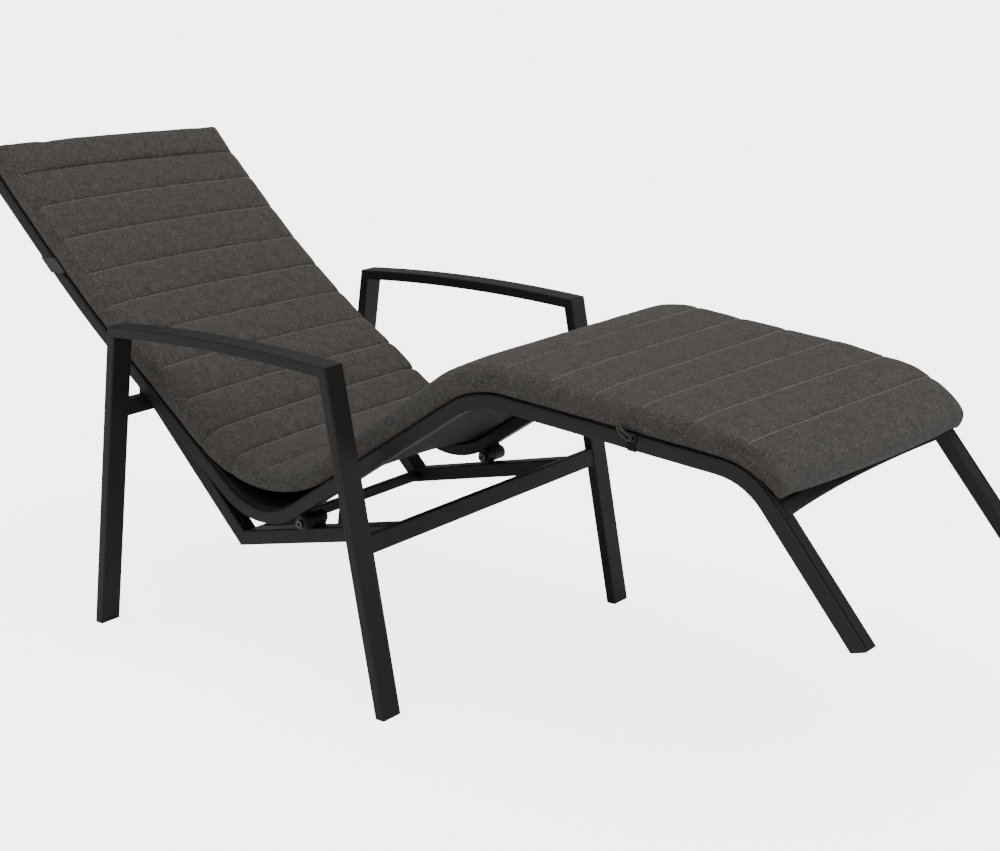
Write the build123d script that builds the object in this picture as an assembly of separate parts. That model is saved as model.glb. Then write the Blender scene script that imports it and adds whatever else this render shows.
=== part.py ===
from build123d import *
import os
from math import asin, atan2, cos, degrees, hypot, radians, sin, tan

# Sun lounger. A fixed base of flat aluminium tube carries a bent seat frame on two bolts, and the
# seat frame tilts between its stop pads and the floor. Millimetres and degrees. X runs towards the
# foot end, Y towards the left armrest and Z up. Left pieces are drawn and mirrored to the right.

# Legs and armrests
base_width = 650.0
foot_spread = 686.6
leg_width = 40.0
leg_depth = 18.0
leg_splay = 9.9
arm_corner_height = 534.5
arm_rise = 8.5
tube_wall = 2.0
tube_edge = 2.5
edge_angles = (0, 30, 60, 90)

# Plastic foot caps under the legs
foot_cap_height = 6.0
foot_cap_plug = 20.0
foot_cap_chamfer = 1.0
plug_clearance = 0.2

# Crossbars between the legs
leg_crossbar_width = 30.0
leg_crossbar_depth = 15.0
front_crossbar_height = 265.0
rear_crossbar_height = 395.6

# Struts that carry the pivots, and the crossbar between their low bends
strut_width = 30.0
strut_depth = 25.0
strut_inset = 21.4
bend_x = -53.3
bend_height = 189.5
diagonal_lift = 4.5
diagonal_rail_gap = 1.0
bend_crossbar_size = 18.0

# Pivots
pivot_along_strut = 174.3
pivot_reach = 103.5
knuckle_stand = 13.0
knuckle_radius = 12.5
saddle_width = 14.0
strut_knuckle_length = 18.0
rail_knuckle_length = 27.0
bolt_radius = 5.0
bolt_head_radius = 7.0
bolt_head_thickness = 5.0
nut_radius = 8.0
nut_thickness = 6.0
nut_bore_depth = 3.0
socket_flats = 5.0
socket_depth = 2.5
bush_wall = 2.0
bush_flange_radius = 11.0
bush_flange_thickness = 1.2
running_clearance = 0.05
axial_play = 0.1

# Side rails, one bent extrusion each side, with a groove for the sling's corded edge
rail_side_gap = 30.6
rail_width = 30.0
rail_depth = 22.0
rail_wall = 2.0
rail_edge = 3.0
head_length = 303.0
back_length = 540.0
thigh_length = 551.0
calf_length = 458.0
shin_length = 262.0
head_bend_radius = 2160.0
valley_bend_radius = 134.0
knee_bend_radius = 153.0
ankle_bend_radius = 108.0
head_turn = 5.3
valley_turn = 71.4
knee_turn = 37.6
ankle_turn = 46.2
groove_inset = 6.5
groove_gap = 2.2
groove_lip = 1.5
channel_radius = 3.2
channel_wall = 1.4

# Rubber pads that the rails lie on, and the leg-rest feet
pad_gap_at_crossbar = 3.0
pad_length = 27.0
rest_clearance = 0.3
rail_cap_thickness = 4.0
rail_cap_plug = 18.0
rest_foot_height = 6.0
floor_clearance = 0.5

# Crossbars of the seat frame
seat_crossbar_width = 30.0
seat_crossbar_depth = 12.0
head_crossbar_from_top = 62.0
back_crossbar_from_valley = 200.0
knee_crossbar_from_knee = 92.0
calf_crossbar_from_ankle = 68.0

# Woven sling and the cords in its edges
sling_thickness = 1.2
sling_head_inset = 14.0
sling_past_ankle = 27.0
cord_radius = 2.6

# Quilted cushion
cushion_side_inset = 1.5
cushion_edge = 26.0
cushion_groove = 41.0
cushion_crown = 45.0
cushion_clearance = 0.8
cushion_head_overhang = 3.0
cushion_past_ankle = 9.0
cushion_valley_radius = 260.0
cushion_knee_radius = 165.0
cushion_ankle_radius = 121.0
cushion_channels = 24
back_channels = 9
channel_steps = 4
end_channel_pitch = 65.0
back_channel_pitch = 75.6
# Across the cushion: place, underside lift, stitched height and crowned height, as shares
side_shares = [
    (-1.000, 0.30, 0.55, 0.55),
    (-0.985, 0.10, 0.80, 0.78),
    (-0.950, 0.00, 0.94, 0.92),
    (-0.870, 0.00, 1.00, 1.00),
    (0.870, 0.00, 1.00, 1.00),
    (0.950, 0.00, 0.94, 0.92),
    (0.985, 0.10, 0.80, 0.78),
    (1.000, 0.30, 0.55, 0.55),
]

# Straps sewn to the cushion's sides and led round under the rails
strap_thickness = 1.5
strap_tab_height = 14.0
head_strap_width = 35.0
head_strap_from_top = 205.0
calf_strap_width = 18.0
calf_strap_from_knee = 271.0


def heading(angle):
    """Unit vector in the side plane, an angle above level, towards the foot end."""
    return Vector(cos(radians(angle)), 0, sin(radians(angle)))


def above(direction):
    """Unit vector square to a direction in the side plane, on its upper side."""
    return Vector(-direction.Z, 0, direction.X)


def at_y(point, y):
    """The same place in the side plane, moved across to y."""
    return Vector(point.X, y, point.Z)


def soft_rectangle(width, depth, edge):
    """A rectangle with each corner rounded in three flats."""
    outline = []
    for quarter, (side, rise) in enumerate(((1, 1), (-1, 1), (-1, -1), (1, -1))):
        centre = Vector(side * (width / 2 - edge), rise * (depth / 2 - edge))
        outline += [centre + Vector(edge, 0).rotate(Axis.Z, 90 * quarter + a) for a in edge_angles]
    return Polygon(*outline, align=None)


def tube_section(width, depth):
    """Hollow rectangular tube with rounded long edges."""
    inside = Rectangle(width - 2 * tube_wall, depth - 2 * tube_wall)
    return soft_rectangle(width, depth, tube_edge) - inside


def lengthwise(section, start, direction, length, before=0):
    """A straight bar in the side plane; the section's X lies across the lounger."""
    plane = Plane(origin=start - direction * before, x_dir=(0, 1, 0), z_dir=direction)
    return extrude(plane * section, amount=before + length)


def crosswise(section, centre, direction, from_y, to_y):
    """A straight bar across the lounger; the section's X lies along the direction."""
    plane = Plane(origin=at_y(centre, from_y), x_dir=direction, z_dir=(0, 1, 0))
    return extrude(plane * section, amount=to_y - from_y)


def bent(section, corners, radii):
    """A bar through corners in the side plane, with an arc of a given radius at each bend."""
    bar = Part()
    start = corners[0]
    for corner, after, radius in zip(corners[1:], corners[2:], radii):
        way_in = (corner - start).normalized()
        way_out = (after - corner).normalized()
        bend_axis = way_in.cross(way_out).normalized()
        bend_angle = way_in.get_angle(way_out)
        reach = radius * tan(radians(bend_angle / 2))
        arc_start = corner - way_in * reach
        arc_plane = Plane(origin=arc_start, x_dir=(0, 1, 0), z_dir=way_in)
        arc_axis = Axis(arc_start + bend_axis.cross(way_in) * radius, bend_axis)
        bar += lengthwise(section, start, way_in, (arc_start - start).length)
        bar += revolve(arc_plane * section, axis=arc_axis, revolution_arc=bend_angle)
        start = corner + way_out * reach
    return bar + lengthwise(section, start, way_out, (corners[-1] - start).length)


def trim(piece, point, keep):
    """Cuts a piece square to a direction at a point, and keeps the side it points to."""
    return split(piece, bisect_by=Plane(origin=point, z_dir=keep), keep=Keep.TOP)


def other_side(piece):
    """The matching piece on the right of the lounger."""
    return mirror(piece, about=Plane.XZ)


def both_sides(piece):
    """A left piece together with its match on the right."""
    return Part() + [piece, other_side(piece)]


nodes = {}

# Base: legs lean outwards going down, and the armrest is bowed and mitred onto them.
arm_y = (base_width - leg_width) / 2
leg_inner_y = base_width / 2 - leg_width
leg_tube = tube_section(leg_width, leg_depth)


def leg_up(end):
    """Direction up a leg; end is 1 at the foot end and -1 at the head end."""
    return Vector(-end * sin(radians(leg_splay)), 0, cos(radians(leg_splay)))


def leg_middle(height, end):
    """Middle of a leg's tube at a height."""
    half_depth = leg_depth / 2 / cos(radians(leg_splay))
    reach = foot_spread / 2 - half_depth - height * tan(radians(leg_splay))
    return Vector(end * reach, 0, height)


corner_x = leg_middle(arm_corner_height, 1).X
arm_radius = (corner_x ** 2 + arm_rise ** 2) / (2 * arm_rise)
arm_half_angle = asin(corner_x / arm_radius)
arm_end_angle = degrees(arm_half_angle + leg_depth / arm_radius)
arm_centre = Vector(0, arm_y, arm_corner_height + arm_rise - arm_radius)
arm_start = Plane(
    origin=arm_centre + heading(90 + arm_end_angle) * arm_radius,
    x_dir=(0, 1, 0),
    z_dir=heading(arm_end_angle),
)
armrest = revolve(
    arm_start * leg_tube, axis=Axis(arm_centre, (0, 1, 0)), revolution_arc=2 * arm_end_angle
)
foot_caps = []
for end, name in ((-1, "rear_leg"), (1, "front_leg")):
    corner = at_y(leg_middle(arm_corner_height, end), arm_y)
    along_arm = Vector(-end * cos(arm_half_angle), 0, sin(arm_half_angle))
    mitre = along_arm + leg_up(end)
    armrest = trim(armrest, corner, mitre)
    floor_point = at_y(leg_middle(0, end), arm_y)
    leg_length = (corner - floor_point).length + leg_depth
    leg = lengthwise(leg_tube, floor_point, leg_up(end), leg_length)
    leg = trim(trim(leg, corner, mitre * -1), Vector(0, 0, foot_cap_height), Vector(0, 0, 1))
    nodes["left_" + name] = leg
    nodes["right_" + name] = other_side(leg)
    cap = lengthwise(
        soft_rectangle(leg_width, leg_depth, tube_edge),
        floor_point,
        leg_up(end),
        leg_depth,
        before=leg_depth,
    )
    cap = trim(trim(cap, Vector(0, 0, foot_cap_height), Vector(0, 0, -1)), Vector(), Vector(0, 0, 1))
    cap = chamfer(cap.faces().sort_by(Axis.Z)[0].edges(), foot_cap_chamfer)
    plug_margin = 2 * (tube_wall + plug_clearance)
    plug = lengthwise(
        Rectangle(leg_width - plug_margin, leg_depth - plug_margin),
        floor_point,
        leg_up(end),
        foot_cap_height + foot_cap_plug,
    )
    foot_caps.append(cap + trim(plug, Vector(0, 0, foot_cap_height / 2), Vector(0, 0, 1)))
nodes["left_armrest"] = armrest
nodes["right_armrest"] = other_side(armrest)
nodes["base_foot_caps"] = Part() + [both_sides(cap) for cap in foot_caps]

# Base: the crossbars between the legs lean with them.
leg_crossbar_tube = tube_section(leg_crossbar_width, leg_crossbar_depth)
front_crossbar = leg_middle(front_crossbar_height, 1)
rear_crossbar = leg_middle(rear_crossbar_height, -1)
for centre, end, name in ((front_crossbar, 1, "front"), (rear_crossbar, -1, "rear")):
    nodes[name + "_crossbar"] = crosswise(
        leg_crossbar_tube, centre, leg_up(end), -leg_inner_y, leg_inner_y
    )

# Base: a strut on each side falls from the rear crossbar to a low mitred bend and rises gently to
# the front crossbar, level with its top.
seat_width = base_width - 2 * (leg_width + rail_side_gap)
rail_y = (seat_width - rail_width) / 2
strut_y = rail_y - strut_inset
strut_tube = tube_section(strut_width, strut_depth)
bend = Vector(bend_x, strut_y, bend_height)
front_face = front_crossbar + above(leg_up(1)) * (leg_crossbar_depth / 2)
rear_face = rear_crossbar + above(leg_up(-1)) * (-leg_crossbar_depth / 2)
front_joint = front_face + leg_up(1) * ((leg_crossbar_width - strut_depth) / 2)
rear_joint = rear_face + leg_up(-1) * diagonal_lift
lower_run = at_y(front_joint, strut_y) - bend
diagonal_run = at_y(rear_joint, strut_y) - bend
lower_way = lower_run.normalized()
diagonal_way = diagonal_run.normalized()
strut_mitre = lower_way - diagonal_way

lower_strut = lengthwise(
    strut_tube, bend, lower_way, lower_run.length + strut_depth, before=strut_depth
)
lower_strut = trim(lower_strut, bend, strut_mitre)
lower_strut = trim(lower_strut, front_face, above(leg_up(1)))
nodes["left_lower_strut"] = lower_strut
nodes["right_lower_strut"] = other_side(lower_strut)

rear_top_corner = rear_face + leg_up(-1) * (leg_crossbar_width / 2)
strut_inner_y = strut_y - strut_width / 2
nodes["bend_crossbar"] = crosswise(
    tube_section(bend_crossbar_size, bend_crossbar_size),
    bend,
    lower_way,
    -strut_inner_y,
    strut_inner_y,
)

# The pivot stands over the lower strut. The seat's slope follows from it: the rails' undersides lie
# on pads on the rear crossbar's top front corner.
pivot = at_y(
    bend + lower_way * pivot_along_strut + above(lower_way) * (strut_depth / 2 + knuckle_stand), 0
)
pivot_below_rail = rail_depth / 2 + knuckle_stand
turn = radians(valley_turn)
pivot_over_back = pivot_reach * sin(turn) - pivot_below_rail * cos(turn)
back_lever = pivot_over_back + rail_depth / 2 + pad_gap_at_crossbar
corner_back = pivot.X - rear_top_corner.X
corner_up = rear_top_corner.Z - pivot.Z
back_slope = degrees(
    atan2(corner_up, corner_back) + asin(back_lever / hypot(corner_back, corner_up))
)

head_way = heading(-back_slope - head_turn)
back_way = heading(-back_slope)
thigh_way = heading(valley_turn - back_slope)
calf_way = heading(valley_turn - back_slope - knee_turn)
shin_way = heading(valley_turn - back_slope - knee_turn - ankle_turn)
valley = pivot + above(thigh_way) * pivot_below_rail - thigh_way * pivot_reach
lumbar = valley - back_way * back_length
head = lumbar - head_way * head_length
knee = valley + thigh_way * thigh_length
ankle = knee + calf_way * calf_length
sole = ankle + shin_way * shin_length

# The diagonal strut stops against the rear crossbar, its upper corner cut back under the rail.
under_the_back = valley - above(back_way) * (rail_depth / 2 + diagonal_rail_gap)
diagonal_strut = lengthwise(
    strut_tube, bend, diagonal_way, diagonal_run.length + 2 * strut_depth, before=strut_depth
)
diagonal_strut = trim(diagonal_strut, bend, strut_mitre * -1)
diagonal_strut = trim(diagonal_strut, rear_face, above(leg_up(-1)) * -1)
diagonal_strut = trim(diagonal_strut, under_the_back, above(back_way) * -1)
nodes["left_diagonal_strut"] = diagonal_strut
nodes["right_diagonal_strut"] = other_side(diagonal_strut)

# The seat tilts about the pivot until the leg-rest feet stand flat on the floor.
sole_reach = sole - pivot
tilt = degrees(
    atan2(sole_reach.Z, sole_reach.X) + asin((pivot.Z - floor_clearance) / sole_reach.length)
)
sole_down = heading(tilt - 90)

rail_corners = [head, lumbar, valley, knee, ankle, sole + shin_way * rail_depth]
rail_radii = [head_bend_radius, valley_bend_radius, knee_bend_radius, ankle_bend_radius]
seat_plane = Plane(origin=head, x_dir=(0, 1, 0), z_dir=head_way)

# Side rails: hollow, with an eight-sided channel under a narrow groove near the outer edge.
def eight_sided(radius):
    """A regular octagon lying flat, by the radius of its inner circle."""
    return Rot(0, 0, 360 / 16) * RegularPolygon(radius, 8, major_radius=False)


groove_y = rail_y + rail_width / 2 - groove_inset
channel_height = rail_depth / 2 - groove_lip - channel_radius
boss_y = groove_y - channel_radius - channel_wall
boss_floor = channel_height - channel_radius - channel_wall
rail_outline = Pos(rail_y, 0) * soft_rectangle(rail_width, rail_depth, rail_edge)
inner_half_width = rail_width / 2 - rail_wall
inner_half_depth = rail_depth / 2 - rail_wall
rail_hollow = Polygon(
    (rail_y - inner_half_width, -inner_half_depth),
    (rail_y + inner_half_width, -inner_half_depth),
    (rail_y + inner_half_width, boss_floor),
    (boss_y, boss_floor),
    (boss_y, inner_half_depth),
    (rail_y - inner_half_width, inner_half_depth),
    align=None,
)
channel = Pos(groove_y, channel_height) * eight_sided(channel_radius)
groove = Pos(groove_y, rail_depth / 2) * Rectangle(groove_gap, 2 * (rail_depth / 2 - channel_height))
rail = bent(rail_outline - rail_hollow - channel - groove, rail_corners, rail_radii)
rail_foot = sole - sole_down * rest_foot_height
left_rail = trim(rail, rail_foot, sole_down * -1)
nodes["left_rail"] = left_rail
nodes["right_rail"] = other_side(left_rail)

# Plastic end caps at the head, and slanted feet at the leg rest, each with a plug in the hollow.
plug_outline = Polygon(
    (rail_y - inner_half_width + plug_clearance, -inner_half_depth + plug_clearance),
    (rail_y + inner_half_width - plug_clearance, -inner_half_depth + plug_clearance),
    (rail_y + inner_half_width - plug_clearance, boss_floor - plug_clearance),
    (rail_y - inner_half_width + plug_clearance, boss_floor - plug_clearance),
    align=None,
)
head_cap = extrude(seat_plane * rail_outline, amount=-rail_cap_thickness)
head_cap += extrude(seat_plane * plug_outline, amount=rail_cap_plug)
nodes["head_end_caps"] = both_sides(head_cap)

shin_overrun = 2 * rail_depth
rest_foot = lengthwise(rail_outline, sole, shin_way, shin_overrun, before=shin_overrun)
rest_foot = trim(trim(rest_foot, rail_foot, sole_down), sole, sole_down * -1)
rest_plug = lengthwise(plug_outline, sole, shin_way, 0, before=rest_foot_height + rail_cap_plug)
rest_foot += trim(rest_plug, sole - sole_down * (rest_foot_height / 2), sole_down * -1)
nodes["leg_rest_foot_caps"] = both_sides(rest_foot)

# Rubber pads on the rear crossbar, their tops parallel to the rails that lie on them.
pad_back = above(leg_up(-1))
pad_front = rear_top_corner + pad_back * tube_edge
pad_rear = rear_top_corner + pad_back * (leg_crossbar_depth - tube_edge)
pad_plane_point = valley - above(back_way) * (rail_depth / 2 + rest_clearance)


def under_rail(point):
    """The point straight up the crossbar where the pad's top ends, just under the rail."""
    gap = (pad_plane_point - point).dot(above(back_way))
    return point + leg_up(-1) * (gap / leg_up(-1).dot(above(back_way)))


pad_face = make_face(
    Polyline(
        at_y(pad_front, rail_y - pad_length / 2),
        at_y(pad_rear, rail_y - pad_length / 2),
        at_y(under_rail(pad_rear), rail_y - pad_length / 2),
        at_y(under_rail(pad_front), rail_y - pad_length / 2),
        close=True,
    )
)
nodes["back_stop_pads"] = both_sides(extrude(pad_face, amount=pad_length, dir=(0, 1, 0)))

# Pivot: a barrel on each strut, a barrel under each rail with two flanged bushes, and a bolt
# through them that ends in a blind nut.
rail_knuckle_inner = rail_y - rail_knuckle_length / 2
rail_knuckle_outer = rail_y + rail_knuckle_length / 2
strut_knuckle_outer = rail_knuckle_inner - bush_flange_thickness - axial_play
strut_knuckle_inner = strut_knuckle_outer - strut_knuckle_length
bolt_head_inner = rail_knuckle_outer + bush_flange_thickness + axial_play
bush_bore = bolt_radius + running_clearance
bush_radius = bush_bore + bush_wall


def round_bar(radius, from_y, to_y):
    """A cylinder about the pivot axis."""
    return crosswise(Circle(radius), pivot, Vector(1, 0, 0), from_y, to_y)


def saddle(direction, side, from_y, to_y):
    """The foot of a barrel: side is 1 below the axis and -1 above it."""
    block = Pos(0, side * knuckle_stand / 2) * Rectangle(saddle_width, knuckle_stand)
    return crosswise(block, pivot, direction, from_y, to_y)


strut_knuckle = round_bar(knuckle_radius, strut_knuckle_inner, strut_knuckle_outer)
strut_knuckle += saddle(lower_way, 1, strut_knuckle_inner, strut_knuckle_outer)
strut_knuckle -= round_bar(bush_bore, strut_knuckle_inner, strut_knuckle_outer)
nodes["strut_knuckles"] = both_sides(strut_knuckle)

rail_knuckle = round_bar(knuckle_radius, rail_knuckle_inner, rail_knuckle_outer)
rail_knuckle += saddle(thigh_way, -1, rail_knuckle_inner, rail_knuckle_outer)
rail_knuckle -= round_bar(bush_radius + running_clearance, rail_knuckle_inner, rail_knuckle_outer)
nodes["rail_knuckles"] = both_sides(rail_knuckle)

bush_end = rail_y - axial_play
inner_bush = round_bar(bush_radius, rail_knuckle_inner, bush_end)
inner_bush += round_bar(
    bush_flange_radius, rail_knuckle_inner - bush_flange_thickness, rail_knuckle_inner
)
inner_bush -= round_bar(bush_bore, rail_knuckle_inner - bush_flange_thickness, bush_end)
outer_bush = mirror(inner_bush, about=Plane.XZ.offset(-rail_y))
nodes["pivot_bushes"] = Part() + [both_sides(inner_bush), both_sides(outer_bush)]

socket = RegularPolygon(socket_flats / 2, 6, major_radius=False)
bolt_end = strut_knuckle_inner - nut_bore_depth + axial_play
bolt_head_outer = bolt_head_inner + bolt_head_thickness
bolt = round_bar(bolt_head_radius, bolt_head_inner, bolt_head_outer)
bolt += round_bar(bolt_radius, bolt_end, bolt_head_inner)
bolt -= crosswise(socket, pivot, Vector(1, 0, 0), bolt_head_outer - socket_depth, bolt_head_outer)
nodes["pivot_bolts"] = both_sides(bolt)

nut_outer = strut_knuckle_inner - nut_thickness
nut = round_bar(nut_radius, nut_outer, strut_knuckle_inner)
nut -= round_bar(bush_bore, strut_knuckle_inner - nut_bore_depth, strut_knuckle_inner)
nut -= crosswise(socket, pivot, Vector(1, 0, 0), nut_outer, nut_outer + socket_depth)
nodes["pivot_nuts"] = both_sides(nut)

# Seat frame crossbars: flat tubes set low between the rails, clear of the sling.
rail_inner_y = rail_y - rail_width / 2
crossbar_section = Pos(0, (rail_depth - seat_crossbar_depth) / 2) * tube_section(
    seat_crossbar_width, seat_crossbar_depth
)
for name, centre, way in (
    ("head", head + head_way * head_crossbar_from_top, head_way),
    ("back", valley - back_way * back_crossbar_from_valley, back_way),
    ("knee", knee + calf_way * knee_crossbar_from_knee, calf_way),
    ("leg_rest", ankle - calf_way * calf_crossbar_from_ankle, calf_way),
):
    nodes[name + "_crossbar"] = crosswise(
        crossbar_section, centre, way, -rail_inner_y, rail_inner_y
    )

# Sling: a flat sheet just over the rails, its edges turned down the grooves round a cord.
sheet_height = rail_depth / 2 + rest_clearance
sheet = Pos(0, sheet_height + sling_thickness / 2) * Rectangle(
    2 * groove_y + sling_thickness, sling_thickness
)
cord = Pos(groove_y, channel_height) * eight_sided(cord_radius)
cords = cord + mirror(cord, about=Plane.YZ)
tongue_depth = sheet_height + sling_thickness - channel_height
tongue = Pos(groove_y, channel_height + tongue_depth / 2) * Rectangle(sling_thickness, tongue_depth)
tongues = tongue + mirror(tongue, about=Plane.YZ)
sling_top = head + head_way * sling_head_inset
ankle_arc_reach = ankle_bend_radius * tan(radians(ankle_turn / 2))
sling_foot = ankle + shin_way * (ankle_arc_reach + sling_past_ankle)
sling = bent(sheet + tongues - cords, rail_corners, rail_radii)
nodes["sling"] = trim(trim(sling, sling_top, head_way), sling_foot, shin_way * -1)
edge_cord = bent(cord, rail_corners, rail_radii)
edge_cord = trim(trim(edge_cord, sling_top, head_way), sling_foot, shin_way * -1)
nodes["sling_edge_cords"] = both_sides(edge_cord)

# Cushion: stitched across into channels. Its underside line is wider round than the rails at the
# valley, where it bridges, and follows them elsewhere.
cushion_width = seat_width - 2 * cushion_side_inset
cushion_base = rail_depth / 2 + rest_clearance + sling_thickness + cushion_clearance


def lifted(corner, way_in, way_out, height):
    """A corner of the rails' line, moved square to both of its runs."""
    normal = above(way_in) + above(way_out)
    return corner + normal * (height / normal.dot(above(way_in)))


cushion_ankle_reach = cushion_ankle_radius * tan(radians(ankle_turn / 2))
cushion_line = FilletPolyline(
    head - head_way * cushion_head_overhang + above(head_way) * cushion_base,
    lifted(lumbar, head_way, back_way, cushion_base),
    lifted(valley, back_way, thigh_way, cushion_base),
    lifted(knee, thigh_way, calf_way, cushion_base),
    lifted(ankle, calf_way, shin_way, cushion_base),
    lifted(ankle, calf_way, shin_way, cushion_base)
    + shin_way * (cushion_ankle_reach + cushion_past_ankle),
    radius=[head_bend_radius, cushion_valley_radius, cushion_knee_radius, cushion_ankle_radius],
)
last_seam = cushion_channels - 1
last_back_seam_place = end_channel_pitch + (back_channels - 1) * back_channel_pitch
last_seam_place = cushion_line.length - end_channel_pitch
seam_marks = [
    (0, 0),
    (1, end_channel_pitch),
    (back_channels, last_back_seam_place),
    (last_seam, last_seam_place),
    (cushion_channels, cushion_line.length),
]


def channel_place(channels):
    """The distance from the head end to so many channels down the cushion."""
    for (seam, place), (next_seam, next_place) in zip(seam_marks, seam_marks[1:]):
        if channels <= next_seam:
            return place + (next_place - place) * (channels - seam) / (next_seam - seam)


def on_cushion(channels, height, y):
    """A point so many channels from the head end and so high over the underside line."""
    place = channel_place(channels)
    foot_point = cushion_line.position_at(place, position_mode=PositionMode.LENGTH)
    way = cushion_line.tangent_at(place, position_mode=PositionMode.LENGTH)
    return at_y(foot_point + above(way) * height, y)


def cushion_slice(place_share, lift_share, groove_share, crown_share):
    """The cushion's outline in the side plane, at one place across it."""
    y = place_share * cushion_width / 2
    lift = lift_share * cushion_edge
    groove_height = groove_share * cushion_groove
    crown_height = crown_share * cushion_crown
    steps = cushion_channels * channel_steps
    underside = [on_cushion(step / channel_steps, lift, y) for step in range(steps + 1)]
    seams = [on_cushion(channel, groove_height, y) for channel in range(cushion_channels + 1)]
    crowns = [on_cushion(channel + 0.5, crown_height, y) for channel in range(cushion_channels)]
    edges = Polyline(*underside).edges()
    edges += [Line(underside[-1], seams[-1]).edge()]
    for channel in reversed(range(cushion_channels)):
        edges += [ThreePointArc(seams[channel + 1], crowns[channel], seams[channel]).edge()]
    edges += [Line(seams[0], underside[0]).edge()]
    return make_face(edges)


nodes["cushion"] = loft([cushion_slice(*shares) for shares in side_shares], ruled=True)

# Straps: each is sewn to the cushion's sides by a tab, and runs down outside the rails and
# straight across under them.
strap_inner_y = cushion_width / 2 + rest_clearance
strap_bottom = rail_depth / 2 + rest_clearance
strap_top = sheet_height + sling_thickness + rest_clearance
strap_half = seat_width / 2 + rest_clearance
tab_inset = strap_half - strap_inner_y
strap_band = Pos(0, (strap_top - strap_bottom) / 2) * (
    Rectangle(2 * (strap_half + strap_thickness), strap_top + strap_bottom + 2 * strap_thickness)
    - Rectangle(2 * strap_half, strap_top + strap_bottom)
)
strap_opening = Pos(0, strap_top + strap_thickness) * Rectangle(
    2 * strap_inner_y, 3 * strap_thickness
)
tab = Pos(strap_inner_y + strap_thickness / 2, strap_top + strap_tab_height / 2) * Rectangle(
    strap_thickness, strap_tab_height
)
strap_outline = strap_band - strap_opening + tab + mirror(tab, about=Plane.YZ)
for name, centre, way, width in (
    ("head_strap", head + head_way * head_strap_from_top, head_way, head_strap_width),
    ("leg_rest_strap", knee + calf_way * calf_strap_from_knee, calf_way, calf_strap_width),
):
    nodes[name] = lengthwise(strap_outline, centre, way, width / 2, before=width / 2)

# The origin goes on the floor under the middle of the whole lounger.
boxes = [node.bounding_box() for node in nodes.values()]
shift = -(min(box.min.X for box in boxes) + max(box.max.X for box in boxes)) / 2
os.makedirs("parts", exist_ok=True)
for name, node in nodes.items():
    export_step(Pos(shift, 0, 0) * node, "parts/" + name + ".step")
print("pivot", round(pivot.X + shift, 3), round(pivot.Z, 3), "tilt", round(tilt, 3))
print("slope of the back", round(back_slope, 3), "shift", round(shift, 3))
print("cushion length", round(cushion_line.length, 2))
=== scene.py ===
from math import cos, pi, radians, sin, tan, tau

import bmesh
import bpy
import numpy as np
from mathutils import Matrix, Vector, noise
from mathutils.bvhtree import BVHTree


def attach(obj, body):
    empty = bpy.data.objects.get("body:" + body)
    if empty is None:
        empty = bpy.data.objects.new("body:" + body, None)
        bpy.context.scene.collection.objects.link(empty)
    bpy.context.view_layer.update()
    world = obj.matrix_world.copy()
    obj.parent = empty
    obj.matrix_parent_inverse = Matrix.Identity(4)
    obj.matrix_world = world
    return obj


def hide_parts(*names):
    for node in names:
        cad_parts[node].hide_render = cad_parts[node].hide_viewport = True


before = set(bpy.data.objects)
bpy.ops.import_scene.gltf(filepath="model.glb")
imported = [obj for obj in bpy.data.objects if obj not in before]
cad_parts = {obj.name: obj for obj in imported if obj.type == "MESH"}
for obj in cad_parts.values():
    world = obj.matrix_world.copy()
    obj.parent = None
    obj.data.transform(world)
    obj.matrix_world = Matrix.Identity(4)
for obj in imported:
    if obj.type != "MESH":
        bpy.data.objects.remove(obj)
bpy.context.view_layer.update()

# Camera, at the photograph's place: beyond the foot end, to the right of the lounger and a little
# above it, turned slightly anticlockwise.
camera_place = Vector((1.8162, -2.1343, 1.1595))
azimuth = radians(39.04)
pitch = radians(15.6)
roll = radians(-0.92)
forward = Vector((-sin(azimuth) * cos(pitch), cos(azimuth) * cos(pitch), -sin(pitch)))
level_right = Vector((cos(azimuth), sin(azimuth), 0))
level_up = level_right.cross(forward)
right = level_right * cos(roll) + level_up * sin(roll)
up = level_up * cos(roll) - level_right * sin(roll)
camera_turn = Matrix((right, up, -forward)).transposed()
camera_data = bpy.data.cameras.new("camera")
camera_data.sensor_width = 36
camera_data.lens = 63.72
camera = bpy.data.objects.new("camera", camera_data)
camera.matrix_world = Matrix.Translation(camera_place) @ camera_turn.to_4x4()
bpy.context.collection.objects.link(camera)
bpy.context.scene.camera = camera


# Floor: a wide pale studio floor with a faint mottle, reaching past the view on every side. The
# camera sees it lit up from under itself, as a light table is.
def material(name):
    """A new material and its shader."""
    made = bpy.data.materials.new(name)
    made.use_nodes = True
    return made, made.node_tree.nodes["Principled BSDF"]


def add(tree, kind, **inputs):
    """Adds a node and sets its inputs, with spaces in their names written as underlines."""
    node = tree.nodes.new(kind)
    for name, value in inputs.items():
        node.inputs[name.replace("_", " ")].default_value = value
    return node


def worked_out(tree, operation, first, second):
    """A sum worked out in a material, of two sockets or of a socket and a plain number."""
    node = tree.nodes.new("ShaderNodeMath")
    node.operation = operation
    tree.links.new(first, node.inputs[0])
    if isinstance(second, float):
        node.inputs[1].default_value = second
    else:
        tree.links.new(second, node.inputs[1])
    return node.outputs["Value"]


def two_tones(tree, mask, dark, light, ends=(0, 1)):
    """A colour that goes from dark to light as a mask goes from end to end."""
    tones = tree.nodes.new("ShaderNodeValToRGB")
    for stop, tone, end in zip(tones.color_ramp.elements, (dark, light), ends):
        stop.position = end
        stop.color = (*tone, 1)
    tree.links.new(mask, tones.inputs["Fac"])
    return tones.outputs["Color"]


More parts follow.
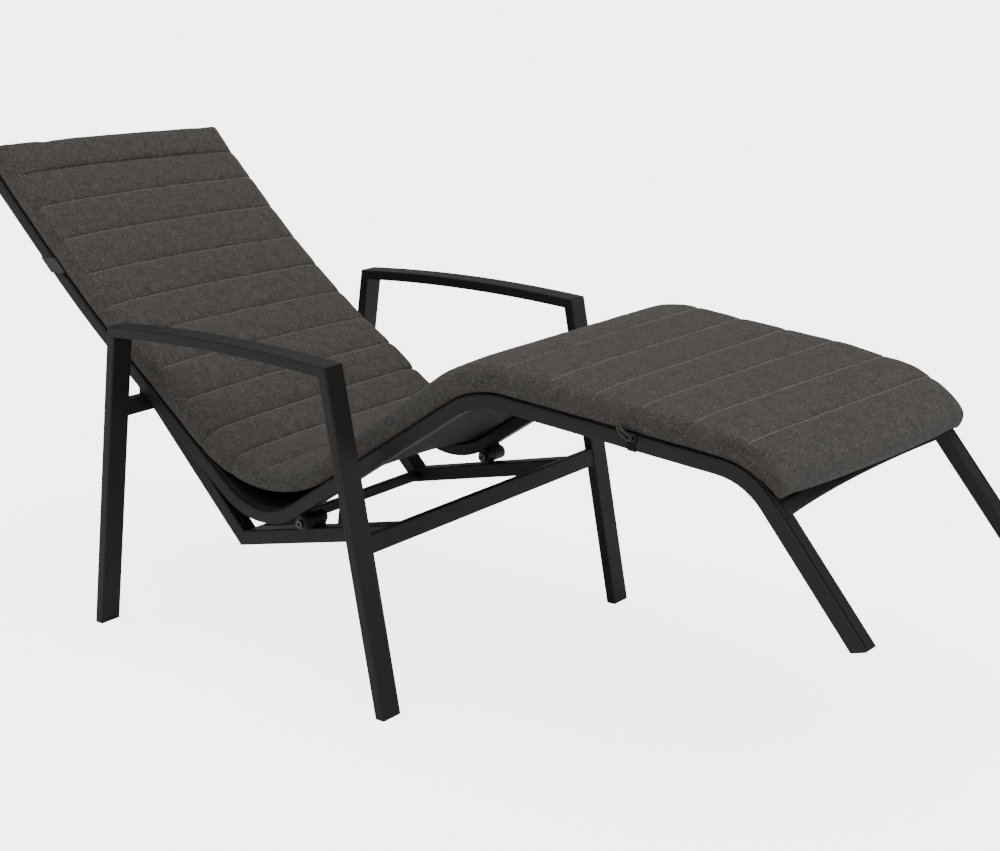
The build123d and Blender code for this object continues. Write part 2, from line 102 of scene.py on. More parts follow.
def mesh_object(name, points, faces, *materials):
    """A new object made of points and faces."""
    mesh = bpy.data.meshes.new(name)
    mesh.from_pydata([tuple(point) for point in points], [], faces)
    mesh.validate()
    for finish in materials:
        mesh.materials.append(finish)
    made = bpy.data.objects.new(name, mesh)
    bpy.context.collection.objects.link(made)
    return made


floor_half = 60
floor_glow = 3.7
floor_paint, shader = material("floor_paint")
tree = floor_paint.node_tree
mottle = add(tree, "ShaderNodeTexNoise", Scale=3.0, Detail=4.0)
pale_tones = two_tones(tree, mottle.outputs["Fac"], (0.93, 0.93, 0.93), (0.96, 0.96, 0.955))
tree.links.new(pale_tones, shader.inputs["Base Color"])
shader.inputs["Roughness"].default_value = 0.9
seen = add(tree, "ShaderNodeLightPath")
glow = worked_out(tree, "MULTIPLY", seen.outputs["Is Camera Ray"], floor_glow)
shader.inputs["Emission Color"].default_value = (1, 1, 1, 1)
tree.links.new(glow, shader.inputs["Emission Strength"])
floor_corners = [
    (x * floor_half, y * floor_half, 0) for x, y in ((-1, -1), (1, -1), (1, 1), (-1, 1))
]
floor = mesh_object("floor", floor_corners, [(0, 1, 2, 3)], floor_paint)

# Light: a very broad soft light from overhead and a little from the foot end, and a weak one that
# comes in low from there, in a dim room. The backdrop is as pale as the floor looks.
room_light = 0.34
backdrop_glow = 4.6
world = bpy.data.worlds.new("studio")
world.use_nodes = True
tree = world.node_tree
room = tree.nodes["Background"]
room.inputs["Color"].default_value = (1, 1, 1, 1)
room.inputs["Strength"].default_value = room_light
backdrop = add(tree, "ShaderNodeBackground", Color=(1, 1, 1, 1), Strength=backdrop_glow)
seen = add(tree, "ShaderNodeLightPath")
either = add(tree, "ShaderNodeMixShader")
tree.links.new(seen.outputs["Is Camera Ray"], either.inputs["Fac"])
tree.links.new(room.outputs["Background"], either.inputs[1])
tree.links.new(backdrop.outputs["Background"], either.inputs[2])
tree.links.new(either.outputs["Shader"], tree.nodes["World Output"].inputs["Surface"])
bpy.context.scene.world = world
for name, strength, spread, way in (
    ("ceiling_light", 3.05, 75, (0.10, -0.12, 1.0)),
    ("window_light", 0.54, 60, (1.0, -0.30, 0.24)),
):
    lamp = bpy.data.lights.new(name, "SUN")
    lamp.energy = strength
    lamp.angle = radians(spread)
    light = bpy.data.objects.new(name, lamp)
    light.rotation_euler = Vector(way).to_track_quat("Z", "Y").to_euler()
    bpy.context.collection.objects.link(light)


# Painted frame: legs, armrests, crossbars, struts, barrels and rails are welded aluminium tube in
# matt anthracite powder coat, a fine pebbled skin that is smoother in some patches than in others
# and runs over the tubes' edges in a small round.
def node_group(name, inputs, outputs):
    """A shader group with named number inputs and outputs."""
    group = bpy.data.node_groups.new(name, "ShaderNodeTree")
    for label, value in inputs:
        socket = group.interface.new_socket(label, in_out="INPUT", socket_type="NodeSocketFloat")
        socket.default_value = value
    for label in outputs:
        group.interface.new_socket(label, in_out="OUTPUT", socket_type="NodeSocketFloat")
    return group, group.nodes.new("NodeGroupInput"), group.nodes.new("NodeGroupOutput")


def bumped(tree, height, strength, depth, normal=None):
    """The normal of a surface made uneven by a height, over another normal if one is given."""
    bump = add(tree, "ShaderNodeBump", Strength=strength, Distance=depth)
    tree.links.new(height, bump.inputs["Height"])
    if normal:
        tree.links.new(normal, bump.inputs["Normal"])
    return bump.outputs["Normal"]


pebbled, given, result = node_group(
    "pebbled_skin", [("Grains per metre", 900.0), ("Height", 1.0)], ["Bump Height", "Roughness"]
)
place = add(pebbled, "ShaderNodeTexCoord")
grains = add(pebbled, "ShaderNodeTexVoronoi")
specks = add(pebbled, "ShaderNodeTexNoise", Detail=3.0, Roughness=0.6)
for pattern in (grains, specks):
    pebbled.links.new(place.outputs["Object"], pattern.inputs["Vector"])
    pebbled.links.new(given.outputs["Grains per metre"], pattern.inputs["Scale"])
pebbles = worked_out(pebbled, "ADD", grains.outputs["Distance"], specks.outputs["Fac"])
pebbles = worked_out(pebbled, "MULTIPLY", pebbles, given.outputs["Height"])
pebbled.links.new(pebbles, result.inputs["Bump Height"])
patches = add(pebbled, "ShaderNodeTexNoise", Scale=14.0, Detail=4.0)
pebbled.links.new(place.outputs["Object"], patches.inputs["Vector"])
rubbed = add(pebbled, "ShaderNodeMapRange", To_Min=0.44, To_Max=0.62)
pebbled.links.new(patches.outputs["Fac"], rubbed.inputs["Value"])
pebbled.links.new(rubbed.outputs["Result"], result.inputs["Roughness"])


def pebbled_finish(name, dark, light, grains_per_metre, height):
    """A coated or moulded finish with the pebbled skin, two close tones and rounded edges."""
    made, shader = material(name)
    tree = made.node_tree
    skin = tree.nodes.new("ShaderNodeGroup")
    skin.node_tree = pebbled
    skin.inputs["Grains per metre"].default_value = grains_per_metre
    skin.inputs["Height"].default_value = height
    rounded = add(tree, "ShaderNodeBevel", Radius=0.0012)
    rounded.samples = 4
    pitted = bumped(tree, skin.outputs["Bump Height"], 0.5, 0.0001, rounded.outputs["Normal"])
    tree.links.new(pitted, shader.inputs["Normal"])
    tree.links.new(skin.outputs["Roughness"], shader.inputs["Roughness"])
    drift = add(tree, "ShaderNodeTexNoise", Scale=9.0, Detail=6.0)
    place = add(tree, "ShaderNodeTexCoord")
    tree.links.new(place.outputs["Object"], drift.inputs["Vector"])
    tree.links.new(two_tones(tree, drift.outputs["Fac"], dark, light), shader.inputs["Base Color"])
    shader.inputs["Specular IOR Level"].default_value = 0.26
    return made


def finish_nodes(finish, *names):
    """Gives CAD pieces a finish."""
    for name in names:
        for part_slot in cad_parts[name].material_slots:
            part_slot.material = finish


frame_paint = pebbled_finish(
    "frame_paint", (0.0075, 0.0075, 0.0076), (0.0105, 0.0105, 0.0106),
    grains_per_metre=1100, height=1.0,
)
finish_nodes(
    frame_paint,
    "left_rear_leg", "right_rear_leg", "left_front_leg", "right_front_leg",
    "left_armrest", "right_armrest", "front_crossbar", "rear_crossbar", "bend_crossbar",
    "left_diagonal_strut", "right_diagonal_strut", "left_lower_strut", "right_lower_strut",
    "strut_knuckles", "left_rail", "right_rail", "rail_knuckles",
    "head_crossbar", "back_crossbar", "knee_crossbar", "leg_rest_crossbar",
)

# Caps: black nylon, moulded with a fine grain. Their plugs are pushed into the open ends of the
# legs, of the rails at the head, and of the leg rest's feet.
cap_plastic = pebbled_finish(
    "cap_plastic", (0.0070, 0.0070, 0.0070), (0.0105, 0.0105, 0.0105),
    grains_per_metre=500, height=0.7,
)
finish_nodes(cap_plastic, "base_foot_caps", "head_end_caps", "leg_rest_foot_caps")

# Stop pads: black rubber blocks on the rear crossbar, one under each rail, which the seat comes to
# lie on when it leans right back. They are moulded, with a coarser grain than the caps.
pad_rubber = pebbled_finish(
    "pad_rubber", (0.0060, 0.0060, 0.0060), (0.0095, 0.0095, 0.0095),
    grains_per_metre=300, height=0.8,
)
finish_nodes(pad_rubber, "back_stop_pads")

# Bushes and cords: the flanged bushes pressed into the seat's barrels, and the cords that hold the
# sling's edges in the rails' grooves. Both are dark plastic, smoother than the caps.
bush_plastic = pebbled_finish(
    "bush_plastic", (0.016, 0.016, 0.016), (0.022, 0.022, 0.022),
    grains_per_metre=700, height=0.4,
)
finish_nodes(bush_plastic, "pivot_bushes")
cord_plastic = pebbled_finish(
    "cord_plastic", (0.012, 0.012, 0.012), (0.018, 0.018, 0.018),
    grains_per_metre=800, height=0.4,
)
finish_nodes(cord_plastic, "sling_edge_cords")

# Pivot bolts and blind nuts: plain stainless steel, with fine lines turned round their axis. One
# pair on each side runs through the strut's barrel and the bushes in the seat's barrel.
bolt_steel, shader = material("bolt_steel")
tree = bolt_steel.node_tree
place = add(tree, "ShaderNodeTexCoord")
turned = add(tree, "ShaderNodeTexNoise", Scale=1.0, Detail=5.0)
stretch = add(tree, "ShaderNodeMapping", Scale=(300, 2500, 300))
tree.links.new(place.outputs["Object"], stretch.inputs["Vector"])
tree.links.new(stretch.outputs["Vector"], turned.inputs["Vector"])
steel_tones = two_tones(
    tree, turned.outputs["Fac"], (0.052, 0.051, 0.049), (0.095, 0.093, 0.090)
)
tree.links.new(steel_tones, shader.inputs["Base Color"])
dulled = add(tree, "ShaderNodeMapRange", To_Min=0.25, To_Max=0.42)
tree.links.new(turned.outputs["Fac"], dulled.inputs["Value"])
tree.links.new(dulled.outputs["Result"], shader.inputs["Roughness"])
lined = bumped(tree, turned.outputs["Fac"], 0.25, 0.00005)
tree.links.new(lined, shader.inputs["Normal"])
shader.inputs["Metallic"].default_value = 1
finish_nodes(bolt_steel, "pivot_bolts", "pivot_nuts")


# Sling: a woven sheet, its edges turned down into the rails' grooves. It pulls straight across the
# low bend and sinks between the rails at the knee and the ankle, and both ends are hemmed.
def side_line(corners, radii, spacing=0.001):
    """Samples each millimetre of a line in the side plane with an arc at each inner corner."""
    points = []
    headings = []
    start = Vector(corners[0])
    for corner, after, radius in zip(corners[1:], corners[2:], radii):
        corner = Vector(corner)
        way_in = (corner - start).normalized()
        way_out = (Vector(after) - corner).normalized()
        side = 1 if way_in.x * way_out.y > way_in.y * way_out.x else -1
        angle = way_in.angle(way_out)
        reach = radius * tan(angle / 2)
        length = (corner - start).length - reach
        for step in np.arange(0, length, spacing):
            points.append(start + way_in * step)
            headings.append(np.arctan2(way_in.y, way_in.x))
        arc_start = start + way_in * length
        centre = arc_start + Vector((-way_in.y, way_in.x)) * side * radius
        for turned_by in np.arange(0, angle, spacing / radius):
            spoke = Matrix.Rotation(side * turned_by, 2) @ (arc_start - centre)
            points.append(centre + spoke)
            headings.append(np.arctan2(way_in.y, way_in.x) + side * turned_by)
        start = corner + way_out * reach
    for step in np.arange(0, (Vector(corners[-1]) - start).length, spacing):
        points.append(start + way_out * step)
        headings.append(np.arctan2(way_out.y, way_out.x))
    points = np.array(points)
    gaps = np.hypot(*np.diff(points, axis=0).T)
    return np.concatenate([[0], np.cumsum(gaps)]), points, np.array(headings)


def seat_points(line, distance, height, across):
    """Points over a side line: how far down it, how high square to it, and how far across."""
    along, points, headings = line
    heading = np.interp(distance, along, headings)
    x = np.interp(distance, along, points[:, 0]) - np.sin(heading) * height
    z = np.interp(distance, along, points[:, 1]) + np.cos(heading) * height
    return np.stack(np.broadcast_arrays(x, across, z), axis=-1)


# The rails' line in the side plane, by its head, its four bends and the leg rest's feet.
rail_corners = [
    Vector((-0.86430, 0.76018)),
    Vector((-0.64474, 0.55136)),
    Vector((-0.22076, 0.21694)),
    Vector((0.24064, 0.51812)),
    Vector((0.69725, 0.48247)),
    Vector((0.86332, 0.27983)),
]
rail_line = side_line(rail_corners, [2.160, 0.134, 0.153, 0.108])
rail_along, rail_points, rail_headings = rail_line
past_ankle = np.abs(rail_headings - rail_headings[-1]) < 1e-9
sling_start = 0.014
sling_end = rail_along[np.nonzero(past_ankle)[0][0]] + 0.027
sling_half = 0.2479
sling_height = 0.0119
sling_thickness = 0.0012
turned_down = 0.0045
hem_width = 0.022
hem_thickness = 0.0034

# The more sharply the rails bend near a place, the more the sling's middle leaves their line there.
pull = 0.0030
bending = np.gradient(rail_headings, rail_along)
nearby = np.exp(-0.5 * (np.arange(-180, 181) / 60.0) ** 2)
sling_rise = pull * np.convolve(bending, nearby / nearby.sum(), mode="same")


def sling_middle(distance, across):
    """Points in the middle of the sling's thickness. Its loose foot end sags and is drawn back."""
    loose, drawn_back, sag = 0.25, 0.010, 0.008
    share = 1 - (across / sling_half) ** 2
    near_end = np.clip((distance - sling_end + loose) / loose, 0, 1) ** 2
    drawn = distance - drawn_back * share * near_end
    rise = np.interp(drawn, rail_along, sling_rise) - sag * near_end
    return seat_points(rail_line, drawn, sling_height + rise * share, across)


def thin_sheet(name, rows, thickness, *materials):
    """A closed sheet of a given thickness about a grid of middle points."""
    down, over = rows.shape[:2]
    lengthwise = np.gradient(rows, axis=0)
    crosswise = np.gradient(rows, axis=1)
    normals = np.cross(lengthwise, crosswise)
    normals /= np.linalg.norm(normals, axis=2, keepdims=True)
    points = np.concatenate([(rows + normals * thickness / 2), (rows - normals * thickness / 2)])
    layer = down * over
    faces = []
    for row in range(down - 1):
        for column in range(over - 1):
            a = row * over + column
            faces.append((a, a + over, a + over + 1, a + 1))
            faces.append(tuple(layer + corner for corner in (a, a + 1, a + over + 1, a + over)))
    rim = list(range(over))
    rim += [row * over + over - 1 for row in range(1, down)]
    rim += [(down - 1) * over + column for column in range(over - 2, -1, -1)]
    rim += [row * over for row in range(down - 2, 0, -1)]
    for here, following in zip(rim, rim[1:] + rim[:1]):
        faces.append((here, following, layer + following, layer + here))
    made = mesh_object(name, points.reshape(-1, 3), faces, *materials)
    made.data.shade_smooth()
    return made


def vectors(holders, name):
    """The vectors that a mesh's points or normals hold, as an array."""
    values = np.empty(len(holders) * 3)
    holders.foreach_get(name, values)
    return values.reshape(-1, 3)


def face_corners(made):
    """Which point each corner of a piece's faces is."""
    return np.array([loop.vertex_index for loop in made.data.loops])


def lay_flat(made, across, down):
    """Says where each corner of a piece's faces is on its flat cloth."""
    flat = made.data.uv_layers.new(name="cloth")
    flat.data.foreach_set("uv", np.stack([across, down], axis=1).ravel())


def lay_along_rails(made):
    """Lays a sheet's cloth out flat in metres: across, and down the rails' line."""
    points = vectors(made.data.vertices, "co")
    nearest = np.empty(len(points), int)
    batch = 4000
    for first in range(0, len(points), batch):
        part = points[first:first + batch]
        away = (part[:, None, 0] - rail_points[None, :, 0]) ** 2
        away += (part[:, None, 2] - rail_points[None, :, 1]) ** 2
        nearest[first:first + batch] = away.argmin(axis=1)
    corners = face_corners(made)
    lay_flat(made, points[corners, 1], rail_along[nearest][corners])


# Blender's wave texture at a scale of 1 goes through 20 radians in a metre.
one_wave = tau / 20
weave, given, result = node_group(
    "plain_weave", [("Threads per metre", 700.0), ("Slack", 0.15)], ["Bump Height"]
)
laid = add(weave, "ShaderNodeUVMap")
laid.uv_map = "cloth"
wander = add(weave, "ShaderNodeTexNoise", Scale=60.0, Detail=2.0)
weave.links.new(laid.outputs["UV"], wander.inputs["Vector"])
wander_by = add(weave, "ShaderNodeVectorMath")
wander_by.operation = "SCALE"
weave.links.new(wander.outputs["Color"], wander_by.inputs[0])
slack = worked_out(weave, "DIVIDE", given.outputs["Slack"], given.outputs["Threads per metre"])
weave.links.new(slack, wander_by.inputs["Scale"])
moved = add(weave, "ShaderNodeVectorMath")
moved.operation = "ADD"
weave.links.new(laid.outputs["UV"], moved.inputs[0])
weave.links.new(wander_by.outputs[0], moved.inputs[1])
waves = worked_out(weave, "MULTIPLY", given.outputs["Threads per metre"], one_wave)
over_under = add(weave, "ShaderNodeTexChecker", Color1=(1, 1, 1, 1), Color2=(0, 0, 0, 1))
weave.links.new(moved.outputs[0], over_under.inputs["Vector"])
weave.links.new(given.outputs["Threads per metre"], over_under.inputs["Scale"])
thread = add(weave, "ShaderNodeMix")
weave.links.new(over_under.outputs["Fac"], thread.inputs["Factor"])
for way, entry in (("X", "A"), ("Y", "B")):
    threads = add(weave, "ShaderNodeTexWave")
    threads.bands_direction = way
    weave.links.new(moved.outputs[0], threads.inputs["Vector"])
    weave.links.new(waves, threads.inputs["Scale"])
    weave.links.new(threads.outputs["Fac"], thread.inputs[entry])
weave.links.new(thread.outputs["Result"], result.inputs["Bump Height"])


def woven(tree, shader, threads_per_metre, slack, depth, normal=None):
    """Puts the weave's bump on a cloth's shader, and gives back the weave's height."""
    cloth = tree.nodes.new("ShaderNodeGroup")
    cloth.node_tree = weave
    cloth.inputs["Threads per metre"].default_value = threads_per_metre
    cloth.inputs["Slack"].default_value = slack
    height = cloth.outputs["Bump Height"]
    tree.links.new(bumped(tree, height, 0.6, depth, normal), shader.inputs["Normal"])
    return height


def woven_finish(name, dark, light, threads_per_metre, slack, depth, roughness):
    """A dull woven finish whose colour follows the weave's height: painted shade between its
    threads, lighter on their tops.
    """
    made, shader = material(name)
    tree = made.node_tree
    height = woven(tree, shader, threads_per_metre, slack, depth)
    # The base colour darkens where the weave lies low: painted shade between the threads.
    tree.links.new(two_tones(tree, height, dark, light), shader.inputs["Base Color"])
    shader.inputs["Roughness"].default_value = roughness
    shader.inputs["Specular IOR Level"].default_value = 0.2
    return made


# The darker of its two tones is painted shade between the threads.
sling_weave = woven_finish(
    "sling_weave", (0.0065, 0.0065, 0.0065), (0.0220, 0.0220, 0.0215),
    threads_per_metre=760, slack=0.1, depth=0.0004, roughness=0.7,
)
distances = np.linspace(sling_start, sling_end, 240)
sling_columns = np.linspace(-sling_half, sling_half, 63)
right_tuck, left_tuck = (
    seat_points(rail_line, distances[:, None], sling_height - turned_down, edge)
    for edge in (-sling_half, sling_half)
)
rows = sling_middle(distances[:, None], sling_columns[None, :])
rows = np.hstack([right_tuck, rows, left_tuck])
sling = thin_sheet("woven_sling", rows, sling_thickness, sling_weave)
lay_along_rails(sling)
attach(sling, "seat")
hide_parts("sling")

for end, outermost, inward in (("head", sling_start, 1), ("foot", sling_end, -1)):
    distances = outermost + inward * np.linspace(0.0005, hem_width, 5)
    rows = sling_middle(distances[:, None], sling_columns[None, 1:-1])
    hem = thin_sheet(f"sling_hem_{end}", rows, hem_thickness, sling_weave)
    lay_along_rails(hem)
    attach(hem, "seat")


# Cushion: mottled outdoor cloth over a thin even filling, quilted right through by cross seams that
# stop short of its sides. The filling blows it up between the seams, and the thread draws them in.
# It has crept a little askew on the sling, and bridges the low bend.
def lifted(corners, height):
    """A side line's corners, moved square to both of its runs."""
    ways = [(after - before).normalized() for before, after in zip(corners, corners[1:])]
    normals = [Vector((-way.y, way.x)) for way in ways]
    moved = []
    for corner, before, after in zip(corners, normals[:1] + normals, normals + normals[-1:]):
        both = before + after
        moved.append(corner + both * height / both.dot(before))
    return moved


past_head = 0.0185
underside_height = 0.0133
head, back_bend = rail_corners[:2]
cushion_head = head + (head - back_bend).normalized() * past_head
cushion_corners = lifted([cushion_head, *rail_corners[1:]], underside_height)
cushion_line = side_line(cushion_corners, [2.160, 0.260, 0.165, 0.121])
cushion_length = 1.8745
cushion_half = 0.2550
side_height = 0.0130
seam_height = 0.0415
side_roll, end_roll = 0.014, 0.015
under_side_roll, under_end_roll = 0.007, 0.008

# Its seams run at one spacing down to the low bend and at another from there to the foot end, and
# a few were sewn a little out of place. They stop just short of its sides.
seams = 0.0805 + 0.0756 * np.arange(9)
seams = np.append(seams, np.linspace(seams[-1], cushion_length - 0.0735, 15)[1:])
seams[1:3] -= 0.0065
seams[-3:] += (0.0005, 0.0050, -0.0040)
seam_half = 0.2500


def bell(value, centre, reach):
    """1 at a centre, and falling away smoothly on both sides of it."""
    return np.exp(-(((value - centre) / reach) ** 2))


def crept(down, across):
    """How far the near side has crept towards the head, and the far side towards the foot."""
    skew = np.interp(
        down,
        [0, 0.15, 1.45, 1.56, 1.64, 1.73, 1.80, 1.87],
        [0.0460, 0.0130, 0.0130, 0.0250, 0.0400, 0.0500, 0.0280, 0.0420],
    )
    bow = np.interp(down, [0, 0.08, 0.9, 1.2], [0.0020, 0.0050, 0.0050, 0])
    return down + skew * across - bow * (1 - (across / cushion_half) ** 2)


def rise(inward, reach):
    """How far up its rounded side the cushion has come, from 0 to 1, so far in from the edge."""
    squareness = 2.3
    short = 1 - np.clip(inward / reach, 0, 1)
    return (1 - short ** squareness) ** (1 / squareness)


def fullness(down):
    """0 at a seam and 1 half-way between two, for places down the cushion."""
    marks = np.concatenate([[0], seams, [cushion_length]])
    channel = np.interp(down, marks, np.arange(len(marks)))
    return np.abs(np.sin(np.pi * channel)) ** 0.8


def unevenness(down, across):
    """How much higher the top stands: fuller at the low bend, and thinner over the foot end."""
    swells = (  # middle, reach, height, and height gained for each metre across
        (0.670, 0.120, 0.0100, 0.038),
        (1.360, 0.150, 0.0035, 0),
        (0.920, 0.130, -0.0020, 0),
    )
    foot_reach, foot_drop = 0.20, 0.0135
    side_from, side_reach, side_drop = 0.150, 0.100, 0.0040
    higher = sum(
        (height + lean * across) * bell(down, middle, reach)
        for middle, reach, height, lean in swells
    )
    foot = np.clip((down - cushion_length + foot_reach) / foot_reach, 0, 1)
    higher -= foot_drop * foot ** (1.15 - 2.2 * across)
    return higher - side_drop * np.clip((-across - side_from) / side_reach, 0, 1) ** 2


def cushion_layer(down, across, top):
    """The upper or the lower layer before it is blown up, with rounded sides and corners."""
    corner, seam_tuck, end_bow, end_lean = 0.012, 0.0022, 0.0050, 0.018
    from_end = np.minimum(down, cushion_length - down)
    from_side = cushion_half - np.abs(across)
    near_end = np.clip(1 - from_end / corner, 0, 1)
    near_side = np.clip(1 - from_side / corner, 0, 1)
    pulled_end = corner * near_end * (1 - np.sqrt(1 - near_side ** 2 / 2))
    pulled_side = corner * near_side * (1 - np.sqrt(1 - near_end ** 2 / 2))
    if top:
        up = rise(from_end, end_roll) * rise(from_side, side_roll)
        height = side_height + (seam_height - side_height + unevenness(down, across)) * up
    else:
        up = rise(from_end, under_end_roll) * rise(from_side, under_side_roll)
        height = side_height * (1 - up)
    drawn_in = seam_tuck * (1 - fullness(down)) * (1 - up) * np.clip(from_end / 0.03, 0, 1)
    down = down + np.sign(cushion_length / 2 - down) * pulled_end
    across = across - np.sign(across) * (pulled_side + drawn_in)
    last = np.clip((down - seams[-1]) / (cushion_length - seams[-1]), 0, 1)
    bowed = end_bow * last ** 2 * (1 - (across / cushion_half) ** 2)
    place = crept(down, across) + bowed - end_lean * last * height / seam_height
    return seat_points(cushion_line, place, height, across)


# Its blank is a grid on each layer, finer at the rims and beside the seams, joined at the rim.
edge_steps = np.array([0, 0.0004, 0.0014, 0.0032, 0.0060, 0.0100, 0.0150, 0.0215])
grid_down = [edge_steps, cushion_length - edge_steps, [0.0325, cushion_length - 0.0325], seams]
for step in (0.0025, 0.0065, 0.0130, 0.0230):
    grid_down += [seams - step, seams + step]
grid_down = np.unique(np.concatenate([*grid_down, (seams[1:] + seams[:-1]) / 2]).round(6))
grid_across = np.linspace(cushion_half - 0.0295, 0.0295 - cushion_half, 45)
grid_across = np.concatenate(
    [cushion_half - edge_steps, grid_across, edge_steps[::-1] - cushion_half]
)[::-1]
down, across = np.meshgrid(grid_down, grid_across, indexing="ij")
inner = (slice(1, -1), slice(1, -1))
upper = np.arange(down.size).reshape(down.shape)
lower = upper.copy()
lower[inner] = down.size + np.arange(lower[inner].size).reshape(lower[inner].shape)
points = np.concatenate([
    cushion_layer(down, across, True).reshape(-1, 3),
    cushion_layer(down[inner], across[inner], False).reshape(-1, 3),
])
places = np.concatenate([
    np.stack([down, across, np.ones_like(down)], axis=-1).reshape(-1, 3),
    np.stack([down, across, -np.ones_like(down)], axis=-1)[inner].reshape(-1, 3),
])
places[np.setdiff1d(upper, upper[inner]), 2] = 0
faces = []
for layer, turn in ((upper, 1), (lower, -1)):
    quads = np.stack([layer[:-1, :-1], layer[1:, :-1], layer[1:, 1:], layer[:-1, 1:]], axis=-1)
    faces += quads.reshape(-1, 4)[:, ::turn].tolist()
blank = mesh_object("cushion_blank", points, faces)
marked = blank.data.attributes.new("place", "FLOAT_VECTOR", "POINT")
marked.data.foreach_set("vector", places.ravel())

# The seams and the side that lies on the sling are held while the filling blows the rest up.
lying_from = 0.012
on_seam = np.isclose(places[:, 0, None], seams).any(axis=1) & (np.abs(places[:, 1]) < seam_half)
lying = (places[:, 2] < 0) & (np.abs(places[:, 1]) < cushion_half - lying_from)
lying &= (places[:, 0] > lying_from) & (places[:, 0] < cushion_length - lying_from)
held = blank.vertex_groups.new(name="held")
held.add(np.nonzero(on_seam | lying)[0].tolist(), 1, "REPLACE")
cloth = blank.modifiers.new("blown_up", "CLOTH")
cloth.settings.vertex_group_mass = "held"
cloth.settings.effector_weights.gravity = 0
cloth.settings.use_pressure = True
cloth.settings.uniform_pressure_force = 7
cloth.settings.quality = 5
cloth.collision_settings.use_collision = False
for frame_number in range(1, 21):
    bpy.context.scene.frame_set(frame_number)
blown = blank.evaluated_get(bpy.context.evaluated_depsgraph_get()).data
moves = vectors(blown.vertices, "co") - points
lengths = np.linalg.norm(moves, axis=1, keepdims=True)
most = 0.0050
moves *= most * np.tanh(lengths / most) / np.maximum(lengths, 1e-9)
blank.modifiers.remove(cloth)
blank.data.vertices.foreach_set("co", (points + moves).ravel())
bpy.context.scene.frame_set(1)
finer = blank.modifiers.new("finer", "SUBSURF")
finer.levels = 1
finer.render_levels = 1
cushion = bpy.data.objects.new("quilted_cushion", bpy.data.meshes.new_from_object(
    blank.evaluated_get(bpy.context.evaluated_depsgraph_get())
))
bpy.context.collection.objects.link(cushion)
bpy.data.objects.remove(blank)

# The thread draws each seam in to a crease, with puckers beside it, and the cloth creases a little
# all over. At the low bend, where it is bunched, the creases are deeper and run out to the rim.
points = vectors(cushion.data.vertices, "co")
places = vectors(cushion.data.attributes["place"].data, "vector")
normals = vectors(cushion.data.vertex_normals, "vector")
down, across, layer = places.T
underneath = layer < 0
from_seam = np.abs(down[:, None] - seams).min(axis=1)
bunched = bell(down, 0.720, 0.070)
seam_fade, bunched_further = 0.0015, 0.008
past_seam = np.abs(across) - seam_half - bunched_further * bunched
along_seam = 1 / (1 + np.exp(past_seam / seam_fade))
puckers_down, puckers_across, creases_each_way = 18, 95, 30
puckers = np.array([
    noise.noise((lengthways * puckers_down, sideways * puckers_across, 3.0 * side))
    for lengthways, sideways, side in places
])
creases = np.array([
    noise.fractal(tuple(value * creases_each_way for value in (x, sideways, z)), 1.0, 2.0, 3)
    for (x, _, z), sideways in zip(points, across)
])
sharp, broad, puckered, creased = 0.0011, 0.0008, 0.0009, 0.0005
drawn = sharp * bell(from_seam, 0, 0.0026) + broad * bell(from_seam, 0, 0.010)
drawn *= along_seam * np.interp(down, [0.8, 1.3], [1.4, 0.85])
drawn *= 1 + 1.3 * bunched * np.clip((np.abs(across) - 0.215) / 0.030, 0, 1)
drawn += puckered * puckers * bell(from_seam, 0.008, 0.008) * along_seam
drawn += creased * creases
drawn[underneath] = np.maximum(drawn[underneath] * 0.25, 0)
points -= normals * drawn[:, None]
cushion.data.vertices.foreach_set("co", points.ravel())
cushion.data.update()
cushion.data.shade_smooth()

# Its cloth lies flat over each layer, and goes on round the rolled sides and ends.
rolled_share = 0.3
layers_apart = 0.7
corners = face_corners(cushion)
on_top = [layer[list(face.vertices)].sum() > 0 for face in cushion.data.polygons]
on_top = np.repeat(on_top, 4)
depth = np.where(on_top, seam_height - side_height, side_height)
flat_down, flat_across = down[corners], across[corners]
from_end = np.minimum(flat_down, cushion_length - flat_down)
from_side = cushion_half - np.abs(flat_across)
over_side = depth * (1 - rise(from_side, side_roll)) + from_side.clip(max=side_roll) * rolled_share
over_end = depth * (1 - rise(from_end, end_roll)) + from_end.clip(max=end_roll) * rolled_share
flat_across = flat_across + np.sign(flat_across) * over_side + np.where(on_top, 0, layers_apart)
flat_down = flat_down + np.sign(flat_down - cushion_length / 2) * over_end
lay_flat(cushion, flat_across, flat_down)

